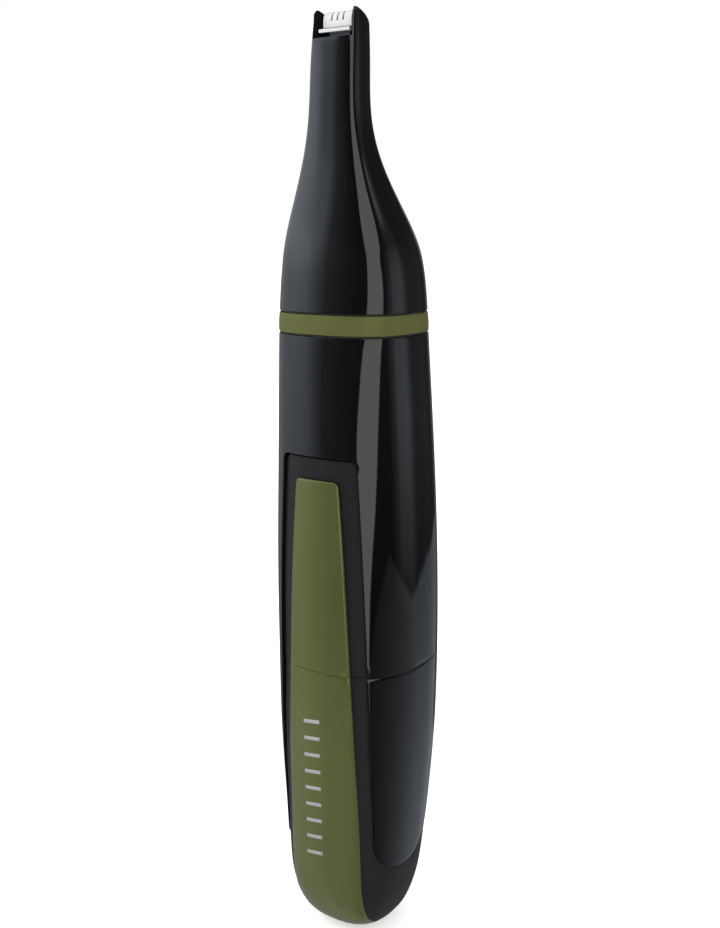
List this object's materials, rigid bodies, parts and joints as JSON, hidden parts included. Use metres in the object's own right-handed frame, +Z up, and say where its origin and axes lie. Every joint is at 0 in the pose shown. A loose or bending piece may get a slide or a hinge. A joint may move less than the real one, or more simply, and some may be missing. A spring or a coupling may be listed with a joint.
{
  "type": "nose hair trimmer",
  "caption": "Slim battery hair trimmer with thumb slider, pull-off battery cover and pull-off narrow head with a small comb and moving blade.",
  "frame": {"origin": "middle of the handle's footprint, at the lowest point of the base", "axes": "+Z up the handle towards the cutter, -Y is the front with the switch, +X is the right-hand side seen from the front"},
  "size_m": [0.024, 0.0244, 0.145],
  "materials": {
    "gloss_black": "polished black moulding",
    "soft_charcoal": "soft-touch charcoal, fine moulded texture",
    "olive": "satin olive green, slightly metallic",
    "inner_plastic": "dark grey moulding",
    "white_plastic": "natural acetal",
    "steel": "ground stainless steel",
    "spring_steel": "nickel-plated spring steel",
    "copper": "bare copper alloy",
    "magnet": "dark sintered magnet and core steel",
    "rubber": "black seal rubber",
    "battery_wrap": "plain grey printed sleeve",
    "board": "phenolic paper board",
    "red_wire": "red insulation",
    "black_wire": "black insulation"
  },
  "bodies": {
    "handle": {"main_housing": "gloss_black", "front_frame": "soft_charcoal", "rear_grip": "soft_charcoal", "switch_board": "board", "switch_strip_battery": "copper", "switch_strip_motor": "copper", "battery_sleeve": "inner_plastic", "aa_battery": "battery_wrap", "positive_contact": "spring_steel", "negative_strip": "spring_steel", "cover_gasket": "rubber", "motor_can": "steel", "motor_end_cap": "white_plastic", "motor_terminal_positive": "copper", "motor_terminal_negative": "copper", "motor_magnet_left": "magnet", "motor_magnet_right": "magnet", "motor_screw_left": "steel", "motor_screw_right": "steel", "motor_plate": "inner_plastic", "motor_wire_red": "red_wire", "motor_wire_black": "black_wire", "head_spigot": "inner_plastic", "spigot_seal": "rubber"},
    "power_switch": {"power_slider": "olive", "slider_carriage": "inner_plastic", "bridge_contact": "copper"},
    "rotor": {"rotor_shaft": "steel", "armature_core": "magnet", "armature_winding_1": "copper", "armature_winding_2": "copper", "armature_winding_3": "copper", "commutator": "copper", "eccentric_cam": "white_plastic"},
    "battery_cover": {"cover_boot": "soft_charcoal", "cover_panel": "olive", "cover_side_left": "gloss_black", "cover_side_right": "gloss_black", "cover_collar": "inner_plastic", "cover_strip": "spring_steel", "cover_spring": "spring_steel"},
    "head": {"neck_housing": "gloss_black", "head_ring": "olive", "head_socket": "inner_plastic", "lever_bridge": "inner_plastic", "pivot_pin": "steel", "fixed_comb": "steel", "comb_retainer": "steel", "blade_spring": "spring_steel"},
    "rocker": {"drive_lever": "white_plastic"},
    "cutter": {"moving_blade": "steel", "cutter_carrier": "white_plastic"}
  },
  "joints": [
    {"name": "power_slide", "type": "slide", "parent": "handle", "child": "power_switch", "axis": [0, 0, 1], "range_m": [0, 0.0025]},
    {"name": "cover_pull", "type": "slide", "parent": "handle", "child": "battery_cover", "axis": [0, 0, -1], "range_m": [0, 0.045]},
    {"name": "head_pull", "type": "slide", "parent": "handle", "child": "head", "axis": [0, 0, 1], "range_m": [0, 0.012]},
    {"name": "rotor_spin", "type": "hinge", "parent": "handle", "child": "rotor", "pos_m": [0, -0.0017, 0.08], "axis": [0, 0, 1], "continuous": true},
    {"name": "rocker_swing", "type": "hinge", "parent": "head", "child": "rocker", "pos_m": [0, -0.0045, 0.12], "axis": [0, 1, 0], "range_deg": [-2.5, 2.5]},
    {"name": "cutter_slide", "type": "slide", "parent": "head", "child": "cutter", "axis": [1, 0, 0], "range_m": [-0.00082, 0.00082]}
  ],
  "couplings": [
    {"joint": "rocker_swing", "follows": "cutter_slide", "rad_per_m": 52.632}
  ]
}
